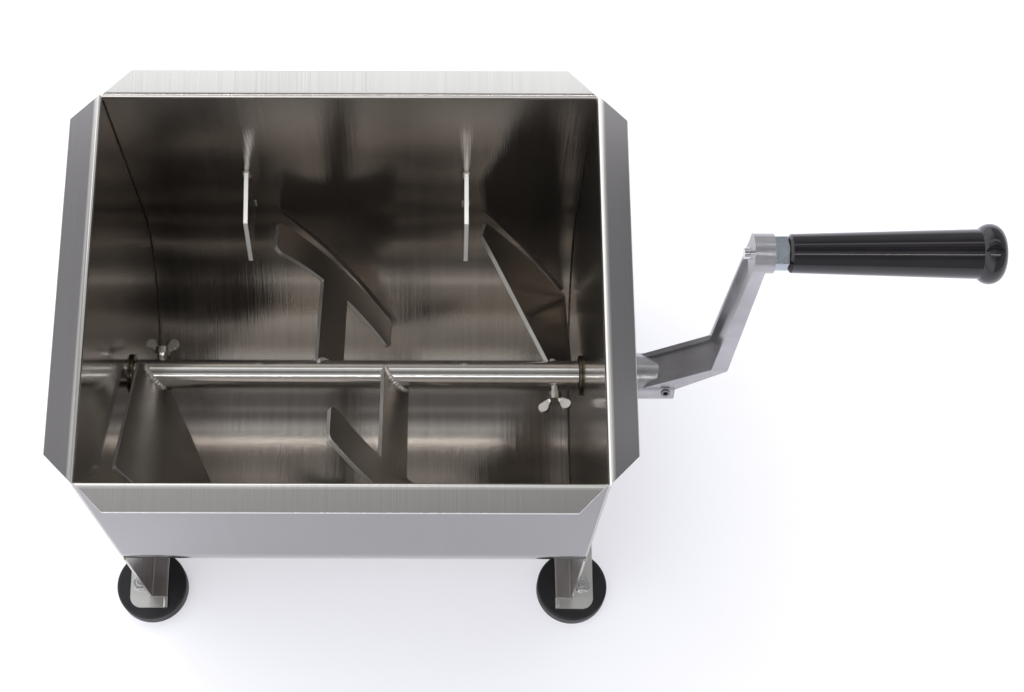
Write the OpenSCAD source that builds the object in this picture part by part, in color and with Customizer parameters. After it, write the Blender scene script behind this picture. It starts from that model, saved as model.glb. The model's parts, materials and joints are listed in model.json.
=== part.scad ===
// Hand cranked meat mixer: a folded stainless hopper with a half-round trough,
// a paddle shaft that turns in two end bushes, and a crank with a revolving grip.
// X runs along the shaft towards the crank, Y to the rear, Z up.
// The origin lies on the ground under the middle of the hopper.

/* [Hopper] */
// Inside length of the hopper along the shaft
hopper_length = 300; // [290:1:340]
// Inside depth of the hopper from front to back
hopper_depth = 241; // [238:1:270]
// Height of the rim above the shaft axis
rim_rise = 166.5; // [150:0.5:220]
// Thickness of the stainless sheet
sheet = 1.5; // [1:0.1:2]
// Width of the turned-out rim, measured from the inner wall
rim_width = 18; // [12:0.5:26]
// Inside radius of the folds in the sheet
fold_r = 1.5; // [0.8:0.1:2.5]
// Length of the slanted cut at each end of the rim
rim_cut = 17; // [8:0.5:17]

/* [Breaker fins] */
// Distance of each fin from the end plate beside it
fin_inset = 77.3; // [75:0.1:80]
// Thickness of a fin
fin_t = 3; // [2:0.5:4]
// Depth of the fin's top corner below the rim, at the wall
fin_drop = 105.5; // [90:0.5:110]
// How far the top of a fin stands out of the wall
fin_reach = 34; // [20:1:40]
// Height of a fin at the wall
fin_height = 56; // [40:1:60]
// How much further the foot of a fin stands out than its top
fin_lean = 9; // [0:1:12]
// Fall of a fin's top edge towards its free end
fin_slope = 7; // [0:0.5:10]

/* [Stands and feet] */
// Free height between the trough and the top of the stand's pad
trough_gap = 11.5; // [6:0.5:30]
// Distance of the pad's folded edge inwards from the end plate
pad_inset = 11.5; // [9:0.5:16]
// Width of the pad that the rubber feet are screwed to
pad_width = 27; // [26:0.5:34]
// How far the pad runs out in front of and behind the hopper
pad_overhang = 8; // [2:0.5:14]
// Radius of the pad's outer corners
pad_corner_r = 8; // [4:0.5:10]
// Diameter of a rubber foot
foot_d = 50; // [40:1:56]
// Height of a rubber foot
foot_h = 14.5; // [10:0.5:22]
// Distance of the feet from the front and the back of the pad
foot_inset = 17; // [14:0.5:24]
// Diameter of the foot screws
foot_screw_d = 6; // [5:0.5:6]
// Clearance between a foot's washer and the stand's web
washer_gap = 0.5; // [0.3:0.1:1]

/* [Shaft] */
// Outer diameter of the paddle tube
tube_d = 20; // [19:0.5:22]
// Diameter of the two stub shafts
stub_d = 14; // [12:0.5:14]
// Length of stub shaft that is held in the tube
stub_grip = 42; // [34:1:46]
// Running clearance round a turning shaft, on the radius
run_gap = 0.05; // [0.03:0.01:0.1]
// Clearance between faces that turn past each other
face_gap = 0.3; // [0.2:0.05:0.6]
// Outer diameter of the bush sleeves
bush_d = 20; // [18:0.5:22]
// Outer diameter of the bush flanges inside the hopper
bush_flange_d = 27; // [25:0.5:32]
// Thickness of the bush flanges
bush_flange_t = 2; // [1.5:0.1:3]
// Outer diameter of the bearing bosses outside the end plates
boss_d = 34; // [30:0.5:38]
// Length of the bearing bosses
boss_length = 12; // [8:0.5:14]
// Diameter of the drive shaft's shoulder between the bush and the crank
shoulder_d = 19; // [17:0.5:20]
// Diameter of the head of the pivot shaft
pivot_head_d = 24; // [22:0.5:28]
// Thickness of the head of the pivot shaft
pivot_head_t = 4; // [2:0.5:5]

/* [Paddles] */
// Thickness of the paddle plate
paddle_t = 3; // [2:0.5:4]
// Angle between a paddle plate and the shaft
paddle_skew = 50; // [45:1:54]
// Clearance between the paddles and the trough
sweep_gap = 4.5; // [3:0.5:12]
// Radial depth of a paddle head
head_depth = 28; // [20:0.5:34]
// Half length of the head of a middle paddle, along the plate
head_half = 60; // [45:0.5:62]
// Width of the stem of a middle paddle
stem_width = 25; // [18:0.5:28]
// Radius of the corners of a paddle
corner_r = 5; // [2:0.5:6]
// Place of the rear middle paddle along the shaft
rear_paddle_x = -19.2; // [-30:0.1:-10]
// Place of the front middle paddle along the shaft
front_paddle_x = 25.5; // [10:0.1:30]
// Distance of the end paddles' roots from the end plates
end_paddle_inset = 16; // [14:0.5:18]
// Dip of the middle paddles at the rear, below level
middle_tilt = 28.5; // [0:0.5:60]
// Dip of the end paddle at the rear, below level
end_tilt = 35; // [0:0.5:60]
// Distance of an end paddle's straight edge from the line through its root
end_edge = 17; // [13:0.5:19]
// Distance of an end paddle's slanted edge from that line at the tube
end_root = 9; // [6:0.5:12]
// Slant of an end paddle's long edge
end_flare = 41; // [35:0.5:44]
// Reach of an end paddle's tip from the line through its root
end_tip = 79; // [60:0.5:82]

/* [Wing screws] */
// Diameter of the wing screws
wing_screw_d = 6; // [5:0.5:6]
// Distance of each wing screw from the end of the tube
wing_screw_inset = 16; // [12:0.5:20]
// Span over the two wings
wing_span = 22; // [18:0.5:28]
// Length of a wing screw's thread below its hub
wing_shank = 7; // [5:0.5:9]
// Angle of the wing screws above level, at the front
wing_tilt = 12; // [0:1:30]
// Turn of the right wing screw about its own axis
wing_turn = 18; // [0:1:45]

/* [Crank] */
// Radius of the crank from the shaft axis to the grip axis
crank_radius = 211; // [150:1:230]
// Diameter of the crank hub
hub_d = 30.7; // [26:0.1:34]
// Length of the crank hub
hub_length = 39; // [30:0.5:44]
// Distance of the hub's outer face from the end plate
hub_out = 59.5; // [55:0.5:70]
// Distance of the middle of the upper arm from the hub's outer face
arm_out = 24.5; // [18:0.5:30]
// Width of the arm
arm_width = 24; // [18:0.5:26]
// Width of the arm where it meets the eye
arm_top_width = 21; // [16:0.5:22]
// Thickness of the eye at the top of the arm
eye_t = 11.5; // [10:0.5:14]
// Thickness of the arm below the eye
arm_top_t = 7.2; // [6.5:0.1:9]
// Thickness of the arm at its bend
arm_bend_t = 10.7; // [9:0.1:12]
// Length over which the foot of the arm runs into the hub, along the shaft
arm_root = 27; // [20:0.5:29]
// Height of the bend in the arm's inner face above the shaft axis
arm_bend = 46.5; // [38:0.5:60]
// How much lower the bend in the arm's outer face lies
arm_bend_drop = 2.5; // [0:0.5:5]
// Slope of the arm's inner face between the hub and the bend
arm_slope = 42.4; // [38:0.1:50]
// Radius of the arm's bend on the outside
arm_bend_r = 4; // [1:0.5:6]
// Depth of the channel in the inner face of the arm
channel_depth = 3; // [2:0.5:4]
// Width of the two ribs beside the channel
channel_rib = 3.2; // [2:0.1:5]
// Diameter of the eye at the top of the arm
eye_d = 22.4; // [18:0.1:26]
// Diameter of the crank's set screw
set_screw_d = 6; // [5:1:8]

/* [Grip] */
// Diameter of the spindle inside the grip
spindle_d = 10; // [8:0.5:11]
// Diameter of the riveted tail of the spindle
tail_d = 6.6; // [5:0.1:8]
// How far the riveted tail stands out of the eye
tail_out = 4.5; // [2:0.5:6]
// Width across the flats of the nut that locks the spindle
hex_flats = 17; // [16:0.5:20]
// Thickness of that nut
hex_length = 8.3; // [6:0.1:12]
// Length of the grip
grip_length = 120; // [90:1:140]
// Diameter of the spindle's head in the end of the grip
head_d = 17; // [14:0.5:18]
// Thickness of the spindle's head
head_t = 4.5; // [3:0.5:6]
// Depth of the recess for the spindle's head
recess_depth = 8; // [6:0.5:11]
// Diameter of the grip beside the nut
grip_small_d = 22; // [20:0.5:26]
// Diameter of the grip before the bulb
grip_large_d = 28; // [24:0.5:32]
// Diameter of the bulb at the end of the grip
bulb_d = 34; // [28:0.5:38]
// Length of the bulb
bulb_length = 15.5; // [12:0.5:20]

/* [Hidden] */
$fn = 96;

// Overrun of every cutting tool past the face that it cuts
over = 1;
// Places of the hopper, worked out from its sizes
half_length = hopper_length / 2;
trough_r = hopper_depth / 2;
skin_r = trough_r + sheet;
pad_top = foot_h + sheet;
shaft_z = pad_top + trough_gap + skin_r;
rim_z = shaft_z + rim_rise;
fold_centre = skin_r + fold_r;
fold_z = rim_rise - sheet - fold_r;
plate_x = half_length + sheet;
// The pads: folded edge, outer edge, ends, and the top of the web's own fold
pad_x = half_length - pad_inset;
pad_end = pad_x + pad_width;
pad_y = skin_r + pad_overhang;
lap_top = pad_top + sheet;
// How far below the shaft axis the web's horns end, where they are one sheet wide
saddle_drop = sqrt(skin_r * skin_r - trough_r * trough_r);
// The feet sit under the webs, and their screws stand outside them
foot_x = half_length + sheet / 2;
foot_y = pad_y - foot_inset;
foot_lip = 2;
foot_bore_gap = 0.25;
foot_seat_d = foot_screw_d * 2.25;
foot_seat_h = foot_h * 0.55;
foot_head_d = foot_screw_d * 1.9;
foot_head_h = foot_screw_d * 0.6;
foot_nut_flats = foot_screw_d * 1.625;
foot_nut_h = foot_screw_d * 0.8;
foot_washer_d = foot_screw_d * 1.9;
foot_washer_t = foot_screw_d * 0.2;
screw_x = plate_x + washer_gap + foot_washer_d / 2;
foot_thread_end = foot_screw_d * 0.25;
// The fins and the paddles
fin_x = half_length - fin_inset;
sweep_r = trough_r - sweep_gap;
head_inner_r = sweep_r - head_depth;
end_paddle_x = half_length - end_paddle_inset;
// The shaft
tube_end = half_length - bush_flange_t - face_gap;
boss_end = plate_x + boss_length;
hub_start = plate_x + hub_out - hub_length;
hub_end = plate_x + hub_out;
shaft_tip = hub_end - sheet;
// The wing screws
wing_x = tube_end - wing_screw_inset;
wing_hub_d = wing_screw_d * 1.6;
wing_hub_h = wing_screw_d * 0.9;
wing_rise = wing_screw_d * 1.55;
wing_t = wing_screw_d * 0.42;
wing_lobe_d = wing_screw_d * 1.15;
wing_seat_gap = 0.3;
// The arm of the crank: the inner face of its upper part, and the corners of its outline
arm_in = hub_end + arm_out - eye_t / 2;
arm_foot = arm_in - arm_bend / tan(arm_slope);
arm_elbow = [arm_in + arm_bend_t, arm_bend - arm_bend_drop];
// The set screw of the crank
set_screw_tilt = 24;
set_screw_out = 0.8;
// The grip
eye_face = arm_in + eye_t;
grip_start = eye_face + hex_length + face_gap;
grip_end = grip_start + grip_length;
head_seat = grip_end - recess_depth;
head_slot = head_t / 3;

// A bar along the shaft axis
module shaft_bar(x_from, x_to, d) {
    translate([x_from, 0, shaft_z])
        rotate([0, 90, 0])
            cylinder(h = x_to - x_from, d = d);
}

// Carries an outline drawn across the shaft (rearwards, upwards) along the shaft
module along_shaft(x_from, length) {
    translate([x_from, 0, shaft_z])
        rotate([90, 0, 90])
            linear_extrude(length)
                children();
}

// One quarter of a fold ring: the sheet comes up on the left and leaves to the right
module fold_ring() {
    intersection() {
        difference() {
            circle(r = fold_r + sheet);
            circle(r = fold_r);
        }
        translate([-fold_r - sheet, 0])
            square(fold_r + sheet);
    }
}

// Outline of one wall with its fold and its rim, on the side of positive run
module wall_outline() {
    translate([trough_r, 0])
        square([sheet, fold_z]);
    translate([fold_centre, fold_z])
        fold_ring();
    translate([fold_centre, rim_rise - sheet])
        square([trough_r + rim_width - fold_centre, sheet]);
}

// The folded sheet: rim, front wall, half-round trough, rear wall and rim again
module wrapper_outline() {
    difference() {
        circle(r = skin_r);
        circle(r = trough_r);
        translate([-skin_r - over, 0])
            square([2 * (skin_r + over), skin_r + over]);
    }
    wall_outline();
    mirror([1, 0])
        wall_outline();
}

// Mirrors a shape to the left, to the front, or to both
module to_corner(end, side) {
    mirror([end < 0 ? 1 : 0, 0, 0])
        mirror([0, side < 0 ? 1 : 0, 0])
            children();
}

// Slanted cut through the rim, at its corner on the right and rear
module rim_corner_cut(x, y) {
    translate([x, y, rim_z - sheet - over])
        linear_extrude(sheet + 2 * over)
            polygon([[over, over], [over, -rim_cut], [0, -rim_cut], [-rim_cut, 0], [-rim_cut, over]]);
}

module hopper_wrapper() {
    color("lightgrey")
        difference() {
            along_shaft(-half_length, hopper_length)
                wrapper_outline();
            for (end = [-1, 1], side = [-1, 1])
                to_corner(end, side)
                    rim_corner_cut(half_length, trough_r + rim_width);
        }
}

// Flat end wall: half round below, straight above, with its own fold and rim
module end_plate() {
    difference() {
        along_shaft(half_length, sheet)
            union() {
                circle(r = skin_r);
                translate([-skin_r, 0])
                    square([2 * skin_r, fold_z]);
            }
        shaft_bar(half_length - over, plate_x + over, bush_d);
    }
    difference() {
        translate([0, skin_r, shaft_z])
            rotate([90, 0, 0])
                linear_extrude(2 * skin_r) {
                    translate([plate_x + fold_r, fold_z])
                        fold_ring();
                    translate([plate_x + fold_r, rim_rise - sheet])
                        square([rim_width - sheet - fold_r, sheet]);
                }
        for (side = [-1, 1])
            to_corner(1, side)
                rim_corner_cut(half_length + rim_width, skin_r);
    }
}

module end_plate_left() {
    color("silver")
        mirror([1, 0, 0])
            end_plate();
}

module end_plate_right() {
    color("silver")
        end_plate();
}

// Welded plate on the rear wall that the paddles pass on both sides
module breaker_fin() {
    along_shaft(fin_x - fin_t / 2, fin_t)
        polygon([
            [trough_r, rim_rise - fin_drop],
            [trough_r - fin_reach, rim_rise - fin_drop - fin_slope],
            [trough_r - fin_reach - fin_lean, rim_rise - fin_drop - fin_height + fin_slope],
            [trough_r, rim_rise - fin_drop - fin_height]
        ]);
}

module breaker_fin_left() {
    color("gainsboro")
        mirror([1, 0, 0])
            breaker_fin();
}

module breaker_fin_right() {
    color("gainsboro")
        breaker_fin();
}

// The pad's outline, from its folded edge to its rounded outer corners
module pad_plan() {
    translate([pad_x + sheet, pad_corner_r - pad_y])
        square([pad_width - sheet, 2 * (pad_y - pad_corner_r)]);
    for (side = [0, 1])
        mirror([0, side]) {
            translate([pad_x + sheet, -pad_y])
                square([pad_width - sheet - pad_corner_r, pad_corner_r]);
            translate([pad_end - pad_corner_r, pad_corner_r - pad_y])
                circle(r = pad_corner_r);
        }
}

// Section of the stand's fold: web, bend, and the lap that runs inwards over the pad
module stand_section() {
    translate([half_length, lap_top + fold_r])
        square([sheet, shaft_z - saddle_drop - lap_top - fold_r]);
    translate([half_length - fold_r, lap_top + fold_r])
        rotate([0, 0, 180])
            fold_ring();
    translate([pad_x + sheet, pad_top])
        square([half_length - fold_r - pad_x - sheet, sheet]);
}

// Folded stand at the crank end: saddle web under the end plate, lap, rolled edge and pad
module stand() {
    difference() {
        union() {
            translate([0, skin_r, 0])
                rotate([90, 0, 0])
                    linear_extrude(2 * skin_r)
                        stand_section();
            translate([pad_x + sheet, pad_y, pad_top])
                rotate([90, 0, 0])
                    cylinder(h = 2 * pad_y, r = sheet);
            translate([0, 0, foot_h])
                linear_extrude(sheet)
                    pad_plan();
        }
        for (side = [-1, 1])
            to_corner(1, side)
                translate([screw_x, foot_y, foot_h - over])
                    cylinder(h = sheet + 2 * over, d = foot_screw_d + 2 * foot_bore_gap);
        shaft_bar(half_length - over, plate_x + over, 2 * skin_r);
    }
}

module stand_left() {
    color("darkgrey")
        mirror([1, 0, 0])
            stand();
}

module stand_right() {
    color("darkgrey")
        stand();
}

// Rubber foot: a disc with rounded edges, and a bore with a sunk seat beside its middle
module foot(end, side) {
    color("dimgrey")
        difference() {
            translate([end * foot_x, side * foot_y, 0])
                rotate_extrude()
                    union() {
                        square([foot_d / 2 - foot_lip, foot_h]);
                        translate([0, foot_lip])
                            square([foot_d / 2, foot_h - 2 * foot_lip]);
                        translate([foot_d / 2 - foot_lip, foot_lip])
                            circle(r = foot_lip);
                        translate([foot_d / 2 - foot_lip, foot_h - foot_lip])
                            circle(r = foot_lip);
                    }
            translate([end * screw_x, side * foot_y, -over])
                cylinder(h = foot_h + 2 * over, d = foot_screw_d + 2 * foot_bore_gap);
            translate([end * screw_x, side * foot_y, -over])
                cylinder(h = foot_seat_h + over, d = foot_seat_d);
        }
}

module foot_front_left() { foot(-1, -1); }
module foot_front_right() { foot(1, -1); }
module foot_rear_left() { foot(-1, 1); }
module foot_rear_right() { foot(1, 1); }

// Sets a fastener at each of the four feet
module at_feet() {
    for (end = [-1, 1], side = [-1, 1])
        translate([end * screw_x, side * foot_y, 0])
            children();
}

module foot_screws() {
    color("silver")
        at_feet() {
            translate([0, 0, foot_seat_h - foot_head_h])
                cylinder(h = foot_head_h, d = foot_head_d);
            translate([0, 0, foot_seat_h])
                cylinder(h = pad_top + foot_washer_t + foot_nut_h + foot_thread_end - foot_seat_h, d = foot_screw_d);
        }
}

module foot_washers() {
    color("silver")
        at_feet()
            translate([0, 0, pad_top])
                difference() {
                    cylinder(h = foot_washer_t, d = foot_washer_d);
                    translate([0, 0, -over])
                        cylinder(h = foot_washer_t + 2 * over, d = foot_screw_d + 2 * foot_bore_gap);
                }
}

// Hexagonal prism with a bore, standing on the ground
module hexagon(flats, height, bore) {
    difference() {
        cylinder(h = height, d = flats / cos(30), $fn = 6);
        translate([0, 0, -over])
            cylinder(h = height + 2 * over, d = bore);
    }
}

module foot_nuts() {
    color("silver")
        at_feet()
            translate([0, 0, pad_top + foot_washer_t])
                hexagon(foot_nut_flats, foot_nut_h, foot_screw_d);
}

// Ring welded to the outside of the end plate round the bush
module bearing_boss() {
    difference() {
        shaft_bar(plate_x, boss_end, boss_d);
        shaft_bar(plate_x - over, boss_end + over, bush_d);
    }
}

module bearing_boss_left() {
    color("grey")
        mirror([1, 0, 0])
            bearing_boss();
}

module bearing_boss_right() {
    color("grey")
        bearing_boss();
}

// Flanged bush: the flange lies on the inside of the end plate
module bush() {
    difference() {
        union() {
            shaft_bar(half_length - bush_flange_t, half_length, bush_flange_d);
            shaft_bar(half_length - bush_flange_t, boss_end, bush_d);
        }
        shaft_bar(half_length - bush_flange_t - over, boss_end + over, stub_d + 2 * run_gap);
    }
}

module bush_left() {
    color("peru")
        mirror([1, 0, 0])
            bush();
}

module bush_right() {
    color("peru")
        bush();
}

module pivot_shaft() {
    color("silver")
        mirror([1, 0, 0]) {
            shaft_bar(tube_end - stub_grip, boss_end + face_gap, stub_d);
            shaft_bar(boss_end + face_gap, boss_end + face_gap + pivot_head_t, pivot_head_d);
        }
}

module drive_shaft() {
    color("silver") {
        shaft_bar(tube_end - stub_grip, shaft_tip, stub_d);
        shaft_bar(boss_end + face_gap, hub_start, shoulder_d);
    }
}

// Turns a shape drawn for level paddles to its dip at the rear
module dipped(tilt) {
    translate([0, 0, shaft_z])
        rotate([-tilt, 0, 0])
            children();
}

module paddle_tube() {
    color("gainsboro")
        difference() {
            shaft_bar(-tube_end, tube_end, tube_d);
            shaft_bar(-tube_end - over, tube_end + over, stub_d + 2 * run_gap);
            dipped(wing_tilt) {
                translate([-wing_x, 0, 0])
                    rotate([-90, 0, 0])
                        cylinder(h = tube_d, d = wing_screw_d + 2 * run_gap);
                translate([wing_x, 0, 0])
                    rotate([90, 0, 0])
                        cylinder(h = tube_d, d = wing_screw_d + 2 * run_gap);
            }
        }
}

// Distance from the root of the point of a skewed plate that lies on a cylinder round the shaft
function on_sweep(r, s) = sqrt(r * r - pow(s * sin(paddle_skew), 2));
function unit(v) = v / norm(v);
// Points of a round corner at b, between the directions to a and to c
function corner(a, b, c, r) =
    let (u = unit(a - b), v = unit(c - b), half = acos(u * v) / 2)
    let (centre = b + unit(u + v) * r / sin(half), p = b + u * r / tan(half) - centre)
    let (q = b + v * r / tan(half) - centre, from = atan2(p.y, p.x))
    let (turn = atan2(q.y, q.x) - from, sweep = turn > 180 ? turn - 360 : turn < -180 ? turn + 360 : turn)
    [for (i = [0:6]) centre + r * [cos(from + sweep * i / 6), sin(from + sweep * i / 6)]];
function flip_s(points) = [for (i = [len(points) - 1:-1:0]) [-points[i].x, points[i].y]];

// Half outline of a middle paddle: stem edge, inner edge, rounded end and outer edge
tee_steps = 6;
tee_last = head_half - 2 * corner_r;
tee_inner = [head_half, on_sweep(head_inner_r, head_half)];
tee_outer = [head_half, on_sweep(sweep_r, head_half)];
tee_half = concat(
    [[stem_width / 2, 0]],
    [for (i = [0:tee_steps])
        let (s = stem_width / 2 + (tee_last - stem_width / 2) * i / tee_steps)
        [s, on_sweep(head_inner_r, s)]],
    corner([tee_last, on_sweep(head_inner_r, tee_last)], tee_inner, tee_outer, corner_r),
    corner(tee_inner, tee_outer, [tee_last, on_sweep(sweep_r, tee_last)], corner_r),
    [for (i = [tee_steps:-1:1])
        let (s = tee_last * i / tee_steps)
        [s, on_sweep(sweep_r, s)]]
);

// Outline of an end paddle: slanted edge, blunt tip, outer edge and straight edge
end_steps = 10;
flare_top = on_sweep(head_inner_r, end_tip);
flare_s = min(end_root + flare_top * tan(end_flare), end_tip - 2 * corner_r);
tip_inner = [end_tip, flare_top + end_tip - flare_s];
tip_outer = [end_tip, on_sweep(sweep_r, end_tip)];
tip_last = end_tip - corner_r;
edge_outer = [-end_edge, on_sweep(sweep_r, end_edge)];
edge_root = [-end_edge, tube_d / 4];
edge_last = corner_r - end_edge;
end_points = concat(
    [[end_root, 0], [flare_s, flare_top], tip_inner],
    [for (i = [0:end_steps])
        let (s = tip_last + (edge_last - tip_last) * i / end_steps)
        [s, on_sweep(sweep_r, s)]],
    corner([edge_last, on_sweep(sweep_r, edge_last)], edge_outer, edge_root, corner_r / 2),
    [edge_root]
);

// Stands a flat paddle on the tube at a place along the shaft, on its rear or its front side
module paddle(x, tilt, turn) {
    dipped(tilt)
        difference() {
            translate([x, 0, 0])
                rotate([0, 180 + paddle_skew, 0])
                    rotate([0, 0, turn])
                        translate([0, 0, -paddle_t / 2])
                            linear_extrude(paddle_t)
                                children();
            translate([-half_length, 0, 0])
                rotate([0, 90, 0])
                    cylinder(h = hopper_length, d = tube_d);
        }
}

module paddle_left_end() {
    color("darkgrey")
        paddle(-end_paddle_x, end_tilt, 180)
            polygon(end_points);
}

module paddle_right_end() {
    color("darkgrey")
        paddle(end_paddle_x, end_tilt, 0)
            polygon(end_points);
}

module paddle_front() {
    color("darkgrey")
        paddle(front_paddle_x, middle_tilt, 180)
            polygon(concat(tee_half, flip_s(tee_half)));
}

module paddle_rear() {
    color("darkgrey")
        paddle(rear_paddle_x, middle_tilt, 0)
            polygon(concat(tee_half, flip_s(tee_half)));
}

// Wing screw that points along +Z, with the end of its thread at the stub shaft
module wing_screw() {
    thread_from = stub_d / 2 + wing_seat_gap;
    hub_from = thread_from + wing_shank;
    translate([0, 0, thread_from])
        cylinder(h = wing_shank + wing_hub_h, d = wing_screw_d);
    translate([0, 0, hub_from])
        cylinder(h = wing_hub_h, d = wing_hub_d);
    translate([0, wing_t / 2, hub_from])
        rotate([90, 0, 0])
            linear_extrude(wing_t)
                for (side = [0, 1])
                    mirror([side, 0])
                        wing_outline();
}

// Outline of one wing: a lobe on a waist that starts at the hub
module wing_outline() {
    lobe_x = (wing_span - wing_lobe_d) / 2;
    translate([lobe_x, wing_rise])
        circle(d = wing_lobe_d);
    polygon([
        [0, wing_hub_h * 0.25],
        [lobe_x + wing_lobe_d * 0.35, wing_rise - wing_lobe_d * 0.36],
        [lobe_x - wing_lobe_d * 0.3, wing_rise + wing_lobe_d * 0.4],
        [wing_hub_d / 4, wing_hub_h],
        [0, wing_hub_h]
    ]);
}

module wing_screw_left() {
    color("gainsboro")
        dipped(wing_tilt)
            translate([-wing_x, 0, 0])
                rotate([-90, 0, 0])
                    wing_screw();
}

module wing_screw_right() {
    color("gainsboro")
        dipped(wing_tilt)
            translate([wing_x, 0, 0])
                rotate([90, 0, 0])
                    rotate([0, 0, wing_turn])
                        wing_screw();
}

// Inner face of the crank arm, moved outwards by a depth, from the shaft axis up to a height
function arm_inner(depth, top) = [
    [arm_foot + depth / sin(arm_slope), 0],
    [arm_in + depth, arm_bend - depth * (1 - sin(arm_slope)) / cos(arm_slope)],
    [arm_in + depth, top]
];
arm_outline = concat(
    arm_inner(0, crank_radius),
    [[arm_in + arm_top_t, crank_radius]],
    corner([arm_in + arm_top_t, crank_radius], arm_elbow, [arm_foot + arm_root, 0], arm_bend_r),
    [[arm_foot + arm_root, 0]]
);

// Carries an outline drawn in the crank's own plane (outwards, upwards) across its width
module across(width) {
    translate([0, width / 2, shaft_z])
        rotate([90, 0, 0])
            linear_extrude(width)
                children();
}

// The arm: its outline seen from the front, cut to its outline seen along the shaft, with a channel
module arm_body() {
    channel_top = crank_radius - eye_d / 2 - channel_rib;
    difference() {
        intersection() {
            across(arm_width)
                polygon(arm_outline);
            along_shaft(hub_start, arm_elbow.x + over - hub_start)
                polygon([
                    [-arm_width / 2, -over],
                    [arm_width / 2, -over],
                    [arm_width / 2, arm_bend],
                    [arm_top_width / 2, crank_radius],
                    [-arm_top_width / 2, crank_radius],
                    [-arm_width / 2, arm_bend]
                ]);
        }
        across(arm_width - 2 * channel_rib)
            polygon(concat(
                arm_inner(channel_depth, channel_top),
                [[arm_in - over, channel_top], [arm_foot - over, 0]]
            ));
    }
}

module crank_arm() {
    color("silver")
        difference() {
            union() {
                shaft_bar(hub_start, hub_end, hub_d);
                arm_body();
                grip_bar(arm_in, eye_face, eye_d);
            }
            shaft_bar(hub_start - over, shaft_tip, stub_d);
            grip_bar(arm_in - over, eye_face + over, tail_d);
            set_screw_bar(0, hub_d, set_screw_d);
        }
}

// Bar on the set screw's axis, which leaves the shaft towards the front and up
module set_screw_bar(r_from, r_to, d) {
    translate([hub_end - set_screw_d, 0, shaft_z])
        rotate([90 - set_screw_tilt, 0, 0])
            translate([0, 0, r_from])
                cylinder(h = r_to - r_from, d = d);
}

module crank_set_screw() {
    screw_top = hub_d / 2 + set_screw_out;
    socket_depth = set_screw_d / 2;
    color("slategrey")
        difference() {
            set_screw_bar(stub_d / 2, screw_top, set_screw_d);
            translate([hub_end - set_screw_d, 0, shaft_z])
                rotate([90 - set_screw_tilt, 0, 0])
                    translate([0, 0, screw_top - socket_depth])
                        cylinder(h = socket_depth + over, d = set_screw_d / 2 / cos(30), $fn = 6);
        }
}

// A bar along the grip axis
module grip_bar(x_from, x_to, d) {
    translate([x_from, 0, shaft_z + crank_radius])
        rotate([0, 90, 0])
            cylinder(h = x_to - x_from, d = d);
}

// Bolt with a riveted tail: its slotted head lies in the recess at the end of the grip
module grip_spindle() {
    head_from = head_seat + face_gap;
    color("silver")
        difference() {
            union() {
                grip_bar(arm_in - tail_out, eye_face, tail_d);
                grip_bar(eye_face, head_from, spindle_d);
                grip_bar(head_from, head_from + head_t, head_d);
            }
            translate([head_from + head_t - head_slot, -head_d, shaft_z + crank_radius - head_slot / 2])
                cube([head_slot + over, 2 * head_d, head_slot]);
        }
}

module spindle_nut() {
    color("lightsteelblue")
        translate([eye_face, 0, shaft_z + crank_radius])
            rotate([0, 90, 0])
                hexagon(hex_flats, hex_length, spindle_d);
}

// Outline of the grip: slim at the nut, wider outwards, with a round bulb at its end
module grip_outline() {
    small_r = grip_small_d / 2;
    bulb_r = bulb_length / 2;
    lip = small_r / 8;
    polygon([
        [0, 0],
        [small_r - lip, 0],
        [small_r, lip],
        [grip_large_d / 2, grip_length - bulb_length],
        [grip_large_d / 2, grip_length - bulb_r],
        [0, grip_length - bulb_r]
    ]);
    translate([bulb_d / 2 - bulb_r, grip_length - bulb_r])
        circle(r = bulb_r);
    translate([0, grip_length - bulb_length])
        square([bulb_d / 2 - bulb_r, bulb_length]);
}

module grip() {
    color("black")
        difference() {
            translate([grip_start, 0, shaft_z + crank_radius])
                rotate([0, 90, 0])
                    rotate_extrude()
                        grip_outline();
            grip_bar(grip_start - over, grip_end + over, spindle_d + 2 * run_gap);
            grip_bar(head_seat, grip_end + over, head_d + 2 * face_gap);
        }
}

hopper_wrapper();
end_plate_left();
end_plate_right();
breaker_fin_left();
breaker_fin_right();
stand_left();
stand_right();
foot_front_left();
foot_front_right();
foot_rear_left();
foot_rear_right();
foot_screws();
foot_washers();
foot_nuts();
bearing_boss_left();
bearing_boss_right();
bush_left();
bush_right();
pivot_shaft();
drive_shaft();
paddle_tube();
paddle_left_end();
paddle_front();
paddle_rear();
paddle_right_end();
wing_screw_left();
wing_screw_right();
crank_arm();
crank_set_screw();
grip_spindle();
spindle_nut();
grip();
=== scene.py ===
# Looks of the hand cranked meat mixer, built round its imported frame. Lengths are in metres.
import json
import math
import bmesh
import bpy
import numpy as np
from mathutils import Matrix, Vector


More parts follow.
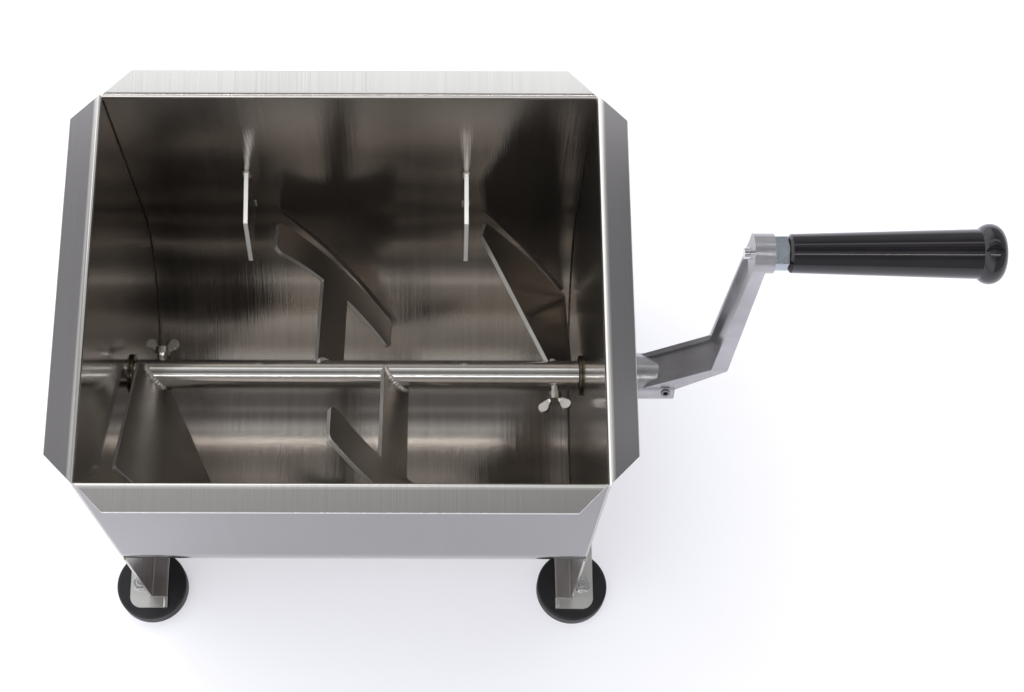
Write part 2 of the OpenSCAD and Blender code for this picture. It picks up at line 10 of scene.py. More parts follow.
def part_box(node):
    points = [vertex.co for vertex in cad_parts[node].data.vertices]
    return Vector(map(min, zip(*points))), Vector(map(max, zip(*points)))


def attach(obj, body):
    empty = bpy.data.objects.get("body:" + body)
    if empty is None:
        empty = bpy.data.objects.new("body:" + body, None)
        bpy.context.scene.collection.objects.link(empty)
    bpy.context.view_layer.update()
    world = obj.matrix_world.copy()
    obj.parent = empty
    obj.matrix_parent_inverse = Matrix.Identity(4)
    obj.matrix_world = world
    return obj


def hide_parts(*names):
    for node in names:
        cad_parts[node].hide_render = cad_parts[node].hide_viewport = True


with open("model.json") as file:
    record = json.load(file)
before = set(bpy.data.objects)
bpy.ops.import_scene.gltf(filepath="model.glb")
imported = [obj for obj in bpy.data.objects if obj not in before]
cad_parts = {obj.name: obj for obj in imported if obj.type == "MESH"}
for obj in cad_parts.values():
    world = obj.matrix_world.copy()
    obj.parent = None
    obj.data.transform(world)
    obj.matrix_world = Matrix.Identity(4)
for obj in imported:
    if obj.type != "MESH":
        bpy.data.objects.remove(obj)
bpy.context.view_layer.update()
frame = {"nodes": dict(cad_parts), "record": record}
nodes = frame["nodes"]
mm = 0.001

# Places that the pieces below are worked out from, measured on the frame
wrapperLow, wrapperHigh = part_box("hopper_wrapper")
tubeLow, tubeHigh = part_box("paddle_tube")
finLow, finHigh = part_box("breaker_fin_right")
bossLow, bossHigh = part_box("bearing_boss_right")
halfLength = wrapperHigh.x
rimZ = wrapperHigh.z
tubeRadius = (tubeHigh.z - tubeLow.z) / 2
shaftZ = (tubeHigh.z + tubeLow.z) / 2
skinRadius = shaftZ - wrapperLow.z  # of the trough's outside
skinStart = skinRadius - 0.7 * mm  # halfway through the sheet
wallY = finHigh.y  # inside of the rear wall
finX, finTop, finFoot = (finLow.x + finHigh.x) / 2, finHigh.z, finLow.z
plateX = bossLow.x  # outside of the right end plate, and of the stand's web in its plane
bossRadius = (bossHigh.y - bossLow.y) / 2
padTop = 18 * mm  # top of the stands' pads
bothSides = (-1, 1)
print("frame loaded:", len(nodes), "nodes, shaft at", round(shaftZ, 4))


class Wire:  # one value in a shader, with arithmetic that adds Math nodes
    def __init__(self, graph, socket):
        self.graph = graph
        self.socket = socket

    def op(self, operation, *values):
        return self.graph.op(operation, *values)

    def __add__(self, other):
        return self.op("ADD", self, other)

    def __radd__(self, other):
        return self.op("ADD", other, self)

    def __sub__(self, other):
        return self.op("SUBTRACT", self, other)

    def __rsub__(self, other):
        return self.op("SUBTRACT", other, self)

    def __mul__(self, other):
        return self.op("MULTIPLY", self, other)

    def __rmul__(self, other):
        return self.op("MULTIPLY", other, self)

    def __truediv__(self, other):
        return self.op("DIVIDE", self, other)

    def ramp(self, low, high, to=(0.0, 1.0)):  # straight ramp between two values, held outside them
        values = {"Value": self, "From Min": low, "From Max": high, "To Min": to[0], "To Max": to[1]}
        return self.graph.add("MapRange", {"clamp": True}, values)


class Graph:  # the nodes of one material, or of the world
    def __init__(self, owner):
        owner.use_nodes = True
        self.owner = owner
        self.tree = owner.node_tree
        self.tree.nodes.clear()

    def add(self, kind, settings=None, values=None, out=0):
        node = self.tree.nodes.new("ShaderNode" + kind)
        for key, value in (settings or {}).items():
            setattr(node, key, value)
        for key, value in (values or {}).items():
            if isinstance(value, Wire):
                self.tree.links.new(value.socket, node.inputs[key])
            else:
                node.inputs[key].default_value = value
        return Wire(self, node.outputs[out]) if node.outputs else None

    def op(self, operation, *values):
        return self.add("Math", {"operation": operation}, dict(enumerate(values)))

    def coords(self):
        return self.add("TexCoord", out="Object")

    def axis(self, name):  # one object coordinate as a number
        return self.add("SeparateXYZ", values={0: self.coords()}, out=name)

    def noise(self, scale, detail=2.0):  # noise whose cells are 1 / scale long on x, y and z
        stretched = self.add("VectorMath", {"operation": "MULTIPLY"}, {0: self.coords(), 1: scale})
        values = {"Vector": stretched, "Scale": 1.0, "Detail": detail}
        return self.add("TexNoise", {"noise_dimensions": "3D"}, values)

    def blend(self, factor, first, second):  # mix of two colours; 6, 7 and 2 are the node's colour sockets
        first = first if isinstance(first, Wire) else (*first, 1.0)
        second = second if isinstance(second, Wire) else (*second, 1.0)
        settings = {"data_type": "RGBA", "blend_type": "MIX"}
        return self.add("Mix", settings, {0: factor, 6: first, 7: second}, out=2)

    def spot(self, centre, inner, outer):  # 1 inside a ball, falling to 0 at its outer radius
        settings = {"operation": "DISTANCE"}
        away = self.add("VectorMath", settings, {0: self.coords(), 1: centre}, out="Value")
        return away.ramp(inner, outer, (1.0, 0.0))

    def bump(self, strength, depth, height):
        return self.add("Bump", values={"Strength": strength, "Distance": depth, "Height": height})

    def finish(self, values):  # the Principled shader and the output
        shader = self.add("BsdfPrincipled", values=values)
        self.add("OutputMaterial", values={"Surface": shader})
        return self.owner


def newGraph(name):
    return Graph(bpy.data.materials.new(name))


# What all brushed sheets have in common
brushing = {
    "smearStretch": 0.12, "clouds": (9, 9, 9), "spread": (0.3, 0.7),
    "streakShare": 0.35, "smearShare": 0.25, "cloudShare": 0.4,
    "skinFade": 0.2 * mm, "skinShare": 0.85,
    "lineFrom": (0.42, 0.75), "linePatches": (0.3, 0.65), "lineShare": 0.2,
    "lineColour": (0.30, 0.29, 0.28),
    "ringColour": (0.20, 0.13, 0.07), "coreColour": (0.08, 0.07, 0.09), "heatShare": 0.7,
    "ringInner": 0.35, "coreOuter": 0.5,
    "depth": 0.25 * mm, "metallic": 0.97,
}


# Brushed stainless: colour = mix of dark and light by streaks, smears and clouds; then the outside's
# painted shade, the zones (mostly painted highlights, reflections and shade), the fine lines and the heat
# marks beside welds are laid over it.
# grain is how many cells per metre the streaks have along x, y and z.
def brushedSteel(name, look):
    g = newGraph(name)
    spread = brushing["spread"]
    streaks = g.noise(look["grain"], detail=1.0)
    smears = g.noise(tuple(brushing["smearStretch"] * v + 2 for v in look["grain"]), detail=1.0)
    clouds = g.noise(brushing["clouds"])
    shade = streaks.ramp(*spread) * brushing["streakShare"] + smears.ramp(*spread) * brushing["smearShare"]
    shade = shade + clouds.ramp(*spread) * brushing["cloudShare"]
    colour = g.blend(shade, look["dark"], look["light"])
    roughness = look["roughness"] + (smears + clouds - 1) * look["roughSpread"]
    if "skin" in look:  # the outside, painted darker as shade, where sqrt(y^2 + min(z - shaft, 0)^2) is past half the sheet
        drop = g.op("MINIMUM", g.axis("Z") - shaftZ, 0.0)
        away = g.op("SQRT", g.axis("Y") * g.axis("Y") + drop * drop)
        mask = away.ramp(skinStart - brushing["skinFade"], skinStart)
        colour = g.blend(mask * brushing["skinShare"], colour, look["skin"])
    for part in look.get("zones", []):  # a zone is where all its ramps along the axes are past their ends
        mask = 1.0
        for axis, start, end in part["where"]:
            mask = g.axis(axis).ramp(start, end) * mask
        colour = g.blend(mask * part["amount"], colour, part["colour"])
        roughness = roughness + mask * part["rougher"]
    lines = streaks.ramp(*brushing["lineFrom"]) * clouds.ramp(*brushing["linePatches"])
    colour = g.blend(lines * brushing["lineShare"], colour, brushing["lineColour"])
    for mark in look.get("heatMarks", []):
        ring = g.spot(mark["at"], mark["radius"] * brushing["ringInner"], mark["radius"])
        core = g.spot(mark["at"], 0.0, mark["radius"] * brushing["coreOuter"])
        colour = g.blend(ring * brushing["heatShare"], colour, brushing["ringColour"])
        colour = g.blend(core * brushing["heatShare"], colour, brushing["coreColour"])
    bump = g.bump(look["bump"], brushing["depth"], streaks)
    return g.finish({"Base Color": colour, "Metallic": brushing["metallic"], "Roughness": roughness,
                     "Normal": bump})


rubberLook = {"clean": (0.012, 0.011, 0.013), "dusty": (0.045, 0.042, 0.044), "dustShare": 0.35,
              "dust": (60, 60, 60), "dustFrom": (0.45, 0.8), "skin": (2200, 2200, 2200),
              "roughness": 0.52, "dustRoughness": 0.2, "bump": 0.35, "depth": 0.08 * mm, "specular": 0.4}


def rubber(name, look):  # matt rubber with a fine moulded skin and a little dust
    g = newGraph(name)
    dust = g.noise(look["dust"], detail=4.0).ramp(*look["dustFrom"])
    colour = g.blend(dust * look["dustShare"], look["clean"], look["dusty"])
    bump = g.bump(look["bump"], look["depth"], g.noise(look["skin"]))
    roughness = look["roughness"] + dust * look["dustRoughness"]
    return g.finish({"Base Color": colour, "Roughness": roughness, "Normal": bump,
                     "Specular IOR Level": look["specular"]})


plasticLook = {"polished": (0.005, 0.004, 0.006), "worn": (0.015, 0.013, 0.017), "wornShare": 0.5,
               "wear": (30, 90, 90), "wearFrom": (0.5, 0.85), "waves": (70, 70, 70),
               "roughness": 0.06, "wearRoughness": 0.1, "bump": 0.1, "depth": 0.1 * mm,
               "coat": 0.3, "coatRoughness": 0.03}


def glossPlastic(name, look):  # pressed black plastic with a polished skin and faint wear
    g = newGraph(name)
    wear = g.noise(look["wear"], detail=4.0).ramp(*look["wearFrom"])
    colour = g.blend(wear * look["wornShare"], look["polished"], look["worn"])
    bump = g.bump(look["bump"], look["depth"], g.noise(look["waves"], detail=1.0))
    roughness = look["roughness"] + wear * look["wearRoughness"]
    return g.finish({"Base Color": colour, "Roughness": roughness, "Normal": bump,
                     "Coat Weight": look["coat"], "Coat Roughness": look["coatRoughness"]})


plating = {"clouds": (40, 40, 40), "cloudFrom": (0.3, 0.7), "peel": (900, 900, 900), "cloudBump": 0.5,
           "depth": 0.05 * mm, "roughSpread": 0.1}


# Plated or bare metal without a grain: clouds of tint, a faint orange peel and polished patches
def platedMetal(name, dark, light, roughness, bump=0.25, metallic=1.0):
    g = newGraph(name)
    clouds = g.noise(plating["clouds"], detail=4.0)
    height = g.noise(plating["peel"]) + clouds * plating["cloudBump"]
    colour = g.blend(clouds.ramp(*plating["cloudFrom"]), dark, light)
    return g.finish({"Base Color": colour, "Metallic": metallic,
                     "Roughness": roughness + (clouds - 0.5) * plating["roughSpread"],
                     "Normal": g.bump(bump, plating["depth"], height)})


weldLook = {"straw": (0.46, 0.42, 0.37), "silver": (0.86, 0.84, 0.82), "silverFrom": (0.35, 0.65),
            "blue": (0.20, 0.22, 0.34), "blueFrom": (0.6, 0.75), "blueShare": 0.5,
            "heat": (420, 420, 420), "bump": 0.4, "depth": 0.1 * mm, "metallic": 0.8, "roughness": 0.34}


def weldMetal(name, look):  # weld bead: silver crests with straw and blue heat colours
    g = newGraph(name)
    heat = g.noise(look["heat"])
    colour = g.blend(heat.ramp(*look["silverFrom"]), look["straw"], look["silver"])
    colour = g.blend(heat.ramp(*look["blueFrom"]) * look["blueShare"], colour, look["blue"])
    bump = g.bump(look["bump"], look["depth"], heat)
    return g.finish({"Base Color": colour, "Metallic": look["metallic"], "Roughness": look["roughness"],
                     "Normal": bump})


def zone(where, colour, rougher=0.0, amount=1.0):  # a colour and a change of roughness inside ramps
    return {"where": where, "colour": colour, "rougher": rougher, "amount": amount}


# The same zone on both sides of an axis: its ramp at +place and at -place
def twice(axis, start, end, others, colour, rougher=0.0, amount=1.0):
    return [zone([(axis, side * start, side * end)] + others, colour, rougher, amount)
            for side in bothSides]


foldStart, foldEnd = rimZ - 3.5 * mm, rimZ - 2.5 * mm  # where the rim's fold begins
flatStart, flatEnd = rimZ - 0.35 * mm, rimZ - 0.15 * mm  # where the rim is flat
sheetEdge, plateEdge = wrapperHigh.y - 0.5 * mm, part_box("end_plate_right")[1].x - 0.5 * mm
atFold, atFlat = ("Z", foldStart, foldEnd), ("Z", flatStart, flatEnd)
atPad = ("Z", padTop + 0.5 * mm, padTop)
# painted highlights: near white on the folds, on the cut edges (also lighter for their rough cut) and on
# the pads beyond the hopper
foldHighlight, cutEdgeAndHighlight, padHighlight = (0.90, 0.89, 0.87), (0.85, 0.85, 0.84), (0.86, 0.86, 0.84)

sheetLook = {
    "dark": (0.45, 0.415, 0.38), "light": (0.585, 0.55, 0.515),
    "grain": (1900, 5, 5), "roughness": 0.14, "roughSpread": 0.05, "bump": 0.2,
    # painted shade: the hopper's outside is painted much darker than its inside
    "skin": (0.165, 0.162, 0.174),
    # painted highlights along the folds at the tops of the rear and front walls
    "zones": twice("Y", wallY - 0.5 * mm, wallY, [atFold], foldHighlight, -0.02) + [
        # painted reflection: a lighter band near the top of the rear wall
        zone([("Y", wallY - 4 * mm, wallY - 2 * mm), ("Z", rimZ - 55 * mm, rimZ - 15 * mm)],
             (0.78, 0.74, 0.70), 0.05, 0.75),
        # painted reflection: the rear rim's flat painted a light grey and the front rim's a middle grey
        zone([("Y", skinStart + 1 * mm, skinStart + 3 * mm), atFlat], (0.76, 0.755, 0.75), -0.05),
        zone([("Y", -skinStart - 2 * mm, -skinStart - 4 * mm), atFlat], (0.56, 0.545, 0.535)),
    # the rims' cut edges: lighter for their rough cut and partly a painted highlight
    ] + twice("Y", sheetEdge, sheetEdge + 0.2 * mm, [atFold], cutEdgeAndHighlight, 0.15),
    "heatMarks": [{"at": (side * finX, wallY - 4 * mm, finTop + 0.5 * mm), "radius": 7 * mm}
                  for side in bothSides],
}
plainLook = {key: value for key, value in sheetLook.items() if key not in ("skin", "zones", "heatMarks")}
endLook = dict(plainLook, roughness=0.13, bump=0.22, zones=(
    # painted highlight along the end plates' folds
    [zone([atFold], foldHighlight)]
    # painted shade: the end rims' flats painted a dark grey
    + twice("X", halfLength + 2.5 * mm, halfLength + 4.5 * mm, [atFlat], (0.312, 0.303, 0.318))
    # the end plates' cut edges: lighter for their rough cut and partly a painted highlight
    + twice("X", plateEdge, plateEdge + 0.2 * mm, [atFold], cutEdgeAndHighlight, 0.15)
    + twice("X", halfLength + 0.8 * mm, halfLength + 1.2 * mm, [("Z", foldEnd, foldStart)],
            (0.42, 0.41, 0.415), 0.03, 0.7)))
plateLook = dict(plainLook, grain=(500, 500, 40), roughness=0.24, bump=0.15)
standLook = dict(plainLook, dark=(0.47, 0.44, 0.41), light=(0.60, 0.575, 0.55), grain=(40, 25, 900),
                 roughness=0.19, bump=0.1, zones=(
    # painted highlight: the pads' parts outside the hopper's shade painted near white
    twice("X", plateX, plateX + 0.3 * mm, [atPad], padHighlight, 0.22)
    + twice("Y", skinRadius + 0.2 * mm, skinRadius + 0.5 * mm, [atPad], padHighlight, 0.12)))
tubeLook = dict(plainLook, dark=(0.66, 0.64, 0.615), light=(0.78, 0.76, 0.735), grain=(1400, 90, 90),
                roughness=0.12, roughSpread=0.04, bump=0.05)

materials = {
    "sheet": brushedSteel("hopperSheet", sheetLook),
    "end": brushedSteel("endPlateSheet", endLook),
    "plate": brushedSteel("paddlePlate", plateLook),
    "stand": brushedSteel("standSheet", standLook),
    "tube": brushedSteel("paddleTube", tubeLook),
    "rubber": rubber("footRubber", rubberLook),
    "plastic": glossPlastic("gripPlastic", plasticLook),
    "zinc": platedMetal("brightZinc", (0.60, 0.61, 0.63), (0.92, 0.93, 0.95), 0.12, 1.0),
    "blueZinc": platedMetal("blueZinc", (0.34, 0.38, 0.43), (0.48, 0.53, 0.58), 0.28),
    "cast": platedMetal("satinCasting", (0.34, 0.335, 0.355), (0.49, 0.485, 0.51), 0.24, 0.5, 0.8),
    "bronze": platedMetal("bushBronze", (0.10, 0.085, 0.06), (0.24, 0.20, 0.14), 0.3),
    "darkSteel": platedMetal("darkSteel", (0.16, 0.16, 0.17), (0.28, 0.28, 0.29), 0.35),
    "wing": platedMetal("wingZinc", (0.58, 0.57, 0.56), (0.88, 0.87, 0.86), 0.09, 0.8),
    "seam": platedMetal("cornerSeam", (0.09, 0.075, 0.06), (0.22, 0.19, 0.16), 0.4),
    "weld": weldMetal("weldBead", weldLook),
    "cut": platedMetal("cutEdge", (0.46, 0.45, 0.43), (0.62, 0.61, 0.59), 0.34, metallic=0.75),
    # the fins' cut faces: near white, partly for the rough cut and partly a painted highlight
    "finCutEdgeAndHighlight": platedMetal("finCutEdgeAndHighlight", (0.82, 0.81, 0.79), (0.94, 0.93, 0.91), 0.4, metallic=0.2),
}
print("materials made:", len(materials))

# Which finish each CAD node has, and how far its edges are rounded, in millimetres
finishes = {
    "hopper_wrapper": ("sheet", 0.25), "end_plate_left": ("end", 0.25), "end_plate_right": ("end", 0.25),
    "breaker_fin_left": ("plate", 0.3), "breaker_fin_right": ("plate", 0.3),
    "stand_left": ("stand", 0.25), "stand_right": ("stand", 0.25),
    "foot_front_left": ("rubber", 0), "foot_front_right": ("rubber", 0),
    "foot_rear_left": ("rubber", 0), "foot_rear_right": ("rubber", 0),
    "foot_screws": ("zinc", 0.3), "foot_washers": ("zinc", 0.2), "foot_nuts": ("zinc", 0.4),
    "bearing_boss_left": ("zinc", 0.5), "bearing_boss_right": ("zinc", 0.5),
    "bush_left": ("bronze", 0.3), "bush_right": ("bronze", 0.3),
    "pivot_shaft": ("tube", 0.4), "drive_shaft": ("tube", 0.3), "paddle_tube": ("tube", 0.3),
    "paddle_left_end": ("plate", 0.3), "paddle_front": ("plate", 0.3),
    "paddle_rear": ("plate", 0.3), "paddle_right_end": ("plate", 0.3),
    "wing_screw_left": ("wing", 0.45), "wing_screw_right": ("wing", 0.45),
    "crank_arm": ("cast", 1.1), "crank_set_screw": ("darkSteel", 0.3),
    "grip_spindle": ("zinc", 0.3), "spindle_nut": ("blueZinc", 0.5), "grip": ("plastic", 0),
}
bodies = frame["record"]["behaviour"]["bodies"]
bodyOf = {node: body for body, members in bodies.items() for node in members}
# How a copy is rounded: lengths in metres, angles in degrees
rounding = {"mergeWithin": 0.002 * mm, "flatAngle": 0.4, "sharpAngle": 32, "segments": 2, "flatWeight": 80}
cutShare = 0.5  # a cut face's normal has less than this share of its length along the plate's normal


def dress(piece, material):  # one material on every face
    piece.data.materials.clear()
    piece.data.materials.append(material)


# Of a plate, the faces across its thickness: the main normal is the eigenvector of sum(area * n * n^T)
# with the largest eigenvalue, and a cut face is one whose normal lies across it
def markCutFaces(mesh, material):
    normals, areas = np.empty(len(mesh.polygons) * 3), np.empty(len(mesh.polygons))
    mesh.polygons.foreach_get("normal", normals)
    mesh.polygons.foreach_get("area", areas)
    normals = normals.reshape(-1, 3)
    main = np.linalg.eigh((normals * areas[:, None]).T @ normals)[1][:, -1]
    mesh.materials.append(material)
    mesh.polygons.foreach_set("material_index", (np.abs(normals @ main) < cutShare).astype(np.int32))


# A copy of a CAD node with its doubles merged, flat faces joined and edges rounded by a bevel;
# normals weighted by area keep the flats beside a bend flat in the mirror of the steel
def roundedCopy(name, width):
    mesh = nodes[name].data.copy()
    piece = bpy.data.objects.new(name + "_finished", mesh)
    bpy.context.scene.collection.objects.link(piece)
    flatAngle, sharpAngle = math.radians(rounding["flatAngle"]), math.radians(rounding["sharpAngle"])
    work = bmesh.new()
    work.from_mesh(mesh)
    bmesh.ops.remove_doubles(work, verts=work.verts, dist=rounding["mergeWithin"])
    bmesh.ops.dissolve_limit(work, angle_limit=flatAngle, verts=work.verts, edges=work.edges)
    work.to_mesh(mesh)
    work.free()
    mesh.polygons.foreach_set("use_smooth", np.ones(len(mesh.polygons), bool))
    mesh.set_sharp_from_angle(angle=sharpAngle)
    bevel = piece.modifiers.new("edges", "BEVEL")
    bevel.width = width * mm
    bevel.segments = rounding["segments"]
    bevel.limit_method = "ANGLE"
    bevel.angle_limit = sharpAngle
    bevel.use_clamp_overlap = True
    flats = piece.modifiers.new("flats", "WEIGHTED_NORMAL")
    flats.weight = rounding["flatWeight"]
    flats.keep_sharp = True
    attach(piece, bodyOf[name])
    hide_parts(name)
    return piece


for name, (finish, width) in finishes.items():
    if width:
        piece = roundedCopy(name, width)
        dress(piece, materials[finish])
        if finish == "plate":
            markCutFaces(piece.data, materials["finCutEdgeAndHighlight" if "fin" in name else "cut"])
    else:
        dress(nodes[name], materials[finish])
print("CAD nodes dressed")

# Weld beads: where they run, in millimetres with x along the shaft, and degrees
paddleWelds = {"skew": 50, "halfPlate": 1.5, "radius": 1.9, "pitch": 2.1, "reachShare": 0.98, "steps": 90,
               "roots": [
    {"at": -19.2, "side": 1, "dip": 28.5, "from": -12.5, "to": 12.5},
    {"at": 25.5, "side": -1, "dip": 28.5, "from": -12.5, "to": 12.5},
    {"at": -134.0, "side": -1, "dip": 35, "from": -17, "to": 9},
    {"at": 134.0, "side": 1, "dip": 35, "from": -17, "to": 9},
]}
finWelds = {"tack": 9, "footGap": 2, "radius": 1.3, "pitch": 1.5, "halfPlate": 1.5,
            "steps": 30, "topSteps": 12}
standWelds = {"hornAngle": 9, "radius": 1.2, "pitch": 1.9}
bossWelds = {"radius": 1.5, "pitch": 1.9, "steps": 260}
cornerSeams = {"radius": 0.8, "pitch": 6.0, "below": 4}
troughEdge = {"bendSteps": 700, "wallSteps": 120}
# A bead's section, its ripples and the taper of its ends; aside is any direction that no bead runs along
beadForm = {"sides": 9, "valley": 0.72, "crest": 0.28, "endShare": 0.25, "aside": (0.31, 0.52, 0.80)}


# A bead is a tube: each ring of it lies across the path, with the radius
# radius * (valley + crest * |sin(pi * length / pitch)|), so that it looks like a row of laid coins
def beadMesh(path, look):
    sides = beadForm["sides"]
    step = np.linalg.norm(np.diff(path, axis=0), axis=1)
    length = np.concatenate([[0], np.cumsum(step)])
    along = np.gradient(path, axis=0)
    along /= np.linalg.norm(along, axis=1, keepdims=True)
    across = np.cross(np.array(beadForm["aside"]), along)
    across /= np.linalg.norm(across, axis=1, keepdims=True)
    upward = np.cross(along, across)
    wave = np.abs(np.sin(np.pi * length / (look["pitch"] * mm)))
    nearEnd = np.minimum(length, length[-1] - length) / (look["radius"] * mm)
    ends = np.sqrt(np.clip(nearEnd, beadForm["endShare"], 1))
    radius = look["radius"] * mm * (beadForm["valley"] + beadForm["crest"] * wave) * ends
    turn = np.arange(sides) * 2 * np.pi / sides
    ring = np.cos(turn)[None, :, None] * across[:, None] + np.sin(turn)[None, :, None] * upward[:, None]
    points = path[:, None] + radius[:, None, None] * ring
    row, column = np.meshgrid(np.arange(len(path) - 1), np.arange(sides), indexing="ij")
    a, b = row * sides + column, row * sides + (column + 1) % sides
    quads = np.stack([a, b, b + sides, a + sides], -1).reshape(-1, 4)
    caps = np.stack([np.arange(sides)[::-1], (len(path) - 1) * sides + np.arange(sides)])
    return points.reshape(-1, 3), quads, caps


def weldPiece(name, body, paths, look, material="weld"):  # all beads of one kind as one piece
    points, faces, count = [], [], 0
    for path in paths:
        more, quads, caps = beadMesh(path, look)
        faces += (quads + count).tolist() + (caps + count).tolist()
        points.append(more)
        count += len(more)
    mesh = bpy.data.meshes.new(name)
    mesh.from_pydata(np.concatenate(points).tolist(), [], faces)
    mesh.polygons.foreach_set("use_smooth", np.ones(len(mesh.polygons), bool))
    piece = bpy.data.objects.new(name, mesh)
    bpy.context.scene.collection.objects.link(piece)
    dress(piece, materials[material])
    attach(piece, body)


# Where a skewed plate meets the tube: s runs along the plate, n is its half thickness;
# x = at - side * s * cos(skew) - n * sin(skew), height = side * s * sin(skew) - n * cos(skew),
# depth = side * sqrt(tube radius^2 - height^2), and all of it is dipped about the shaft
def paddleRoot(root, n):
    skew, dip, side = math.radians(paddleWelds["skew"]), math.radians(root["dip"]), root["side"]
    highest = paddleWelds["reachShare"] * tubeRadius / mm
    reach = highest / math.sin(skew)
    s = np.linspace(max(root["from"], -reach), min(root["to"], reach), paddleWelds["steps"])
    height = np.clip(side * s * math.sin(skew) - n * math.cos(skew), -highest, highest)
    depth = side * np.sqrt((tubeRadius / mm) ** 2 - height ** 2)
    x = root["at"] - side * s * math.cos(skew) - n * math.sin(skew)
    y = depth * math.cos(dip) + height * math.sin(dip)
    z = height * math.cos(dip) - depth * math.sin(dip)
    return np.stack([x, y, z + shaftZ / mm], -1) * mm


# U of the hopper's section at x: y = r * cos(angle), z = shaft - r * sin(angle), carried on upwards
# along both walls to the height top
def hopperEdge(x, radius, start=0.0, top=None):
    angle = np.linspace(math.radians(start), math.pi - math.radians(start), troughEdge["bendSteps"])
    bend = np.stack([np.full_like(angle, x), radius * np.cos(angle), shaftZ - radius * np.sin(angle)], -1)
    if top is None:
        return bend
    rise = np.linspace(top, shaftZ, troughEdge["wallSteps"])[:-1]
    wall = np.stack([np.full_like(rise, x), np.full_like(rise, radius), rise], -1)
    return np.concatenate([wall, bend, wall[::-1] * (1, -1, 1)])


def bossEdge(x):  # circle round the shaft axis: y = r * cos(angle), z = shaft + r * sin(angle)
    angle = np.linspace(0, 2 * math.pi, bossWelds["steps"])
    y, z = bossRadius * np.cos(angle), shaftZ + bossRadius * np.sin(angle)
    return np.stack([np.full_like(angle, x), y, z], -1)


def finTacks(x):  # short beads down both faces of a fin at its ends, and one over its top
    tack, half = finWelds["tack"] * mm, finWelds["halfPlate"] * mm
    paths = []
    for start in (finTop - tack, finFoot + finWelds["footGap"] * mm):
        z = np.linspace(start, start + tack, finWelds["steps"])
        for side in bothSides:
            paths.append(np.stack([np.full_like(z, x + side * half), np.full_like(z, wallY), z], -1))
    across = np.linspace(x - half, x + half, finWelds["topSteps"])
    paths.append(np.stack([across, np.full_like(across, wallY), np.full_like(across, finTop)], -1))
    return paths


weldPiece("paddle_welds", "rotor",
          [paddleRoot(root, side * paddleWelds["halfPlate"]) for root in paddleWelds["roots"]
           for side in bothSides], paddleWelds)
weldPiece("fin_welds", "hopper", finTacks(-finX) + finTacks(finX), finWelds)
weldPiece("stand_welds", "hopper",
          [hopperEdge(side * plateX, skinRadius, standWelds["hornAngle"]) for side in bothSides],
          standWelds)
weldPiece("boss_welds", "hopper", [bossEdge(side * plateX) for side in bothSides], bossWelds)
seamTop = rimZ - cornerSeams["below"] * mm
weldPiece("corner_seams", "hopper",
          [hopperEdge(side * halfLength, wallY, 0.0, seamTop) for side in bothSides], cornerSeams, "seam")
print("weld beads made")

# The viewpoint of the photo: angles in degrees, place from the rim's height upwards
photo = {"pitch": 70.09, "roll": 0.17, "focalPixels": 1808.8, "widthPixels": 1024, "axisPixel": 438.31,
         "place": (54.35 * mm, -393.68 * mm, 977.86 * mm), "sensorWidth": 36.0}
floorLook = {"size": 20.0, "cells": 8, "colour": (0.885, 0.885, 0.985), "glow": (0.97, 0.97, 1.0),
             "seenShare": 0.52}
# The studio's brightness by direction: pale walls low down, a grey ceiling with a dark middle and
# softboxes, and more light from the left. from and to are y / z on the ceiling, half is a softbox's
# half width there.
studio = {
    "walls": 0.85, "wallTop": 0.50, "ceiling": 0.42, "ceilingStart": 0.72,
    "leftGain": 0.47, "leftRange": 0.3, "sideEdge": 0.2, "lowEdge": 0.05, "lowest": 0.02,
    "boxes": [
        {"from": -0.10, "to": 0.18, "half": 3.0, "edge": 0.08, "strength": 0.13},
        {"from": 0.06, "to": 0.09, "half": 3.0, "edge": 0.02, "strength": 0.30},
        {"from": 0.305, "to": 0.33, "half": 0.9, "edge": 0.01, "strength": 0.66},
        {"from": 0.52, "to": 0.70, "half": 0.9, "edge": 0.03, "strength": 1.15},
        {"from": -0.30, "to": -0.26, "half": 0.9, "edge": 0.02, "strength": 0.8},
        {"from": -0.60, "to": -0.42, "half": 0.9, "edge": 0.04, "strength": 0.8},
        {"from": -0.492, "to": -0.478, "half": 0.9, "edge": 0.006, "strength": 12.0},
    ],
}
keyLamp = {"place": (-0.7, 0.5, 2.6), "size": 3.0, "power": 105.0}
white = (1.0, 1.0, 1.0, 1.0)


# A flat square grid at z 0. Rays that see it, straight or in metal, get a share of white glow,
# and the rest is plain paper, which keeps the shadow.
def makeFloor():
    cells, half = floorLook["cells"], floorLook["size"] / 2
    line = np.linspace(-half, half, cells + 1)
    x, y = np.meshgrid(line, line, indexing="ij")
    points = np.stack([x, y, np.zeros_like(x)], -1).reshape(-1, 3)
    row, column = np.meshgrid(np.arange(cells), np.arange(cells), indexing="ij")
    first = (row * (cells + 1) + column).ravel()
    faces = np.stack([first, first + cells + 1, first + cells + 2, first + 1], -1)
    mesh = bpy.data.meshes.new("floor")
    mesh.from_pydata(points.tolist(), [], faces.tolist())
    floor = bpy.data.objects.new("floor", mesh)
    bpy.context.scene.collection.objects.link(floor)
    g = newGraph("floorPaper")
    rays = ("Is Camera Ray", "Is Glossy Ray", "Is Transmission Ray")
    seen = sum(g.add("LightPath", out=name) for name in rays) * floorLook["seenShare"]
    diffuse = g.add("BsdfDiffuse", values={"Color": (*floorLook["colour"], 1.0)})
    glow = g.add("Emission", values={"Color": (*floorLook["glow"], 1.0), "Strength": 1.0})
    mixed = g.add("MixShader", values={0: seen, 1: diffuse, 2: glow})
    g.add("OutputMaterial", values={"Surface": mixed})
    dress(floor, g.owner)


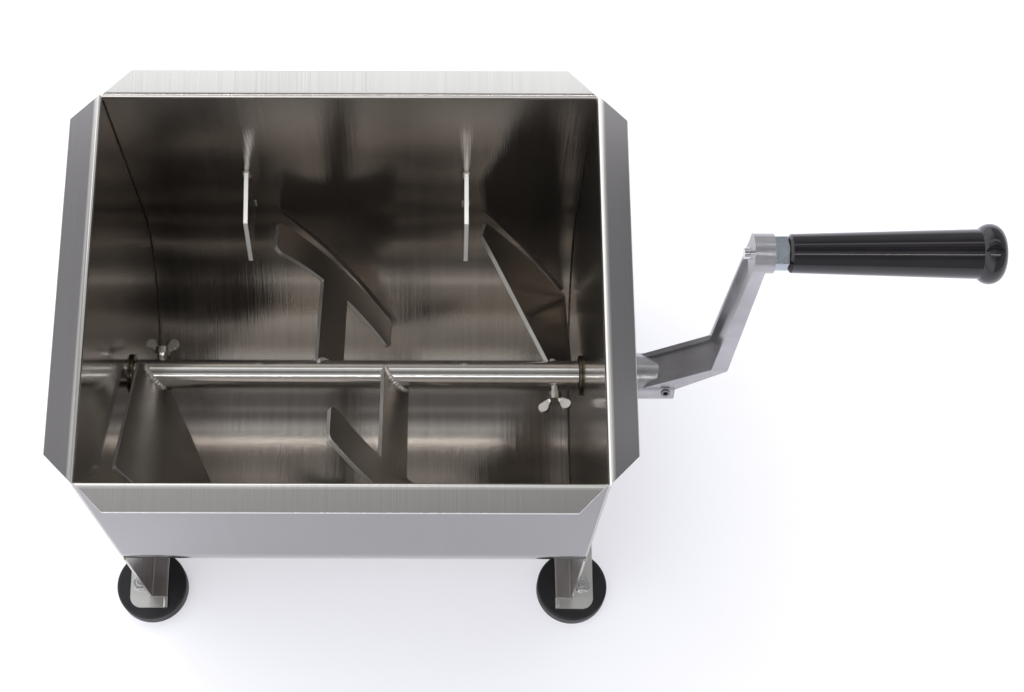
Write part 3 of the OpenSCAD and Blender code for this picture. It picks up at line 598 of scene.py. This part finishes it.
# Brightness of a direction (x, y, z): u = x / z and v = y / z place it on the ceiling, where a softbox
# is a rectangle with soft edges; below it the ceiling's grey turns into the pale walls
def makeWorld():
    world = bpy.data.worlds.new("studio")
    bpy.context.scene.world = world
    g = Graph(world)
    direction = g.add("TexCoord", out=0)
    x, y, z = (g.add("SeparateXYZ", values={0: direction}, out=name) for name in "XYZ")
    above = g.op("MAXIMUM", z, studio["lowest"])
    u, v = x / above, y / above
    level = z.ramp(studio["wallTop"], studio["ceilingStart"], (studio["walls"], studio["ceiling"]))
    gain, span = studio["leftGain"], studio["leftRange"]
    level = level * (1 - u.ramp(-span, span, (-gain, gain)))
    for box in studio["boxes"]:
        inside = v.ramp(box["from"] - box["edge"], box["from"])
        inside = inside * v.ramp(box["to"], box["to"] + box["edge"], (1.0, 0.0))
        sideways = g.op("ABSOLUTE", u).ramp(box["half"], box["half"] + studio["sideEdge"], (1.0, 0.0))
        inside = inside * sideways * z.ramp(0.0, studio["lowEdge"])
        level = level + inside * (box["strength"] - level)
    lit = g.add("Background", values={"Color": white, "Strength": level})
    g.add("OutputWorld", values={"Surface": lit})


def makeKeyLamp():  # lights the floor and the dull pieces; the metal mirrors the studio instead
    lamp = bpy.data.lights.new("keyLamp", "AREA")
    lamp.size = keyLamp["size"]
    lamp.energy = keyLamp["power"]
    holder = bpy.data.objects.new("keyLamp", lamp)
    holder.location = keyLamp["place"]
    holder.rotation_euler = (-Vector(keyLamp["place"])).to_track_quat("-Z", "Y").to_euler()
    holder.visible_glossy = False
    bpy.context.scene.collection.objects.link(holder)


# The camera looks down by the pitch and is turned about its own axis by the roll;
# its lens is the photo's focal length, shifted sideways to the photo's axis
def makeCamera():
    pitch, roll = math.radians(photo["pitch"]), math.radians(photo["roll"])
    right = Vector((1, 0, 0))
    up = Vector((0, math.sin(pitch), math.cos(pitch)))
    back = Vector((0, -math.cos(pitch), math.sin(pitch)))
    across = math.cos(roll) * right + math.sin(roll) * up
    upward = math.cos(roll) * up - math.sin(roll) * right
    x, y, z = photo["place"]
    turn = Matrix((across, upward, back)).transposed().to_4x4()
    lens = bpy.data.cameras.new("photoCamera")
    lens.sensor_width = photo["sensorWidth"]
    lens.lens = photo["focalPixels"] / photo["widthPixels"] * lens.sensor_width
    lens.shift_x = 0.5 - photo["axisPixel"] / photo["widthPixels"]
    camera = bpy.data.objects.new("photoCamera", lens)
    camera.matrix_world = Matrix.Translation((x, y, z + rimZ)) @ turn
    bpy.context.scene.collection.objects.link(camera)
    bpy.context.scene.camera = camera


makeFloor()
makeWorld()
makeKeyLamp()
makeCamera()
bpy.context.scene.view_settings.view_transform = "Standard"
print("stage set")
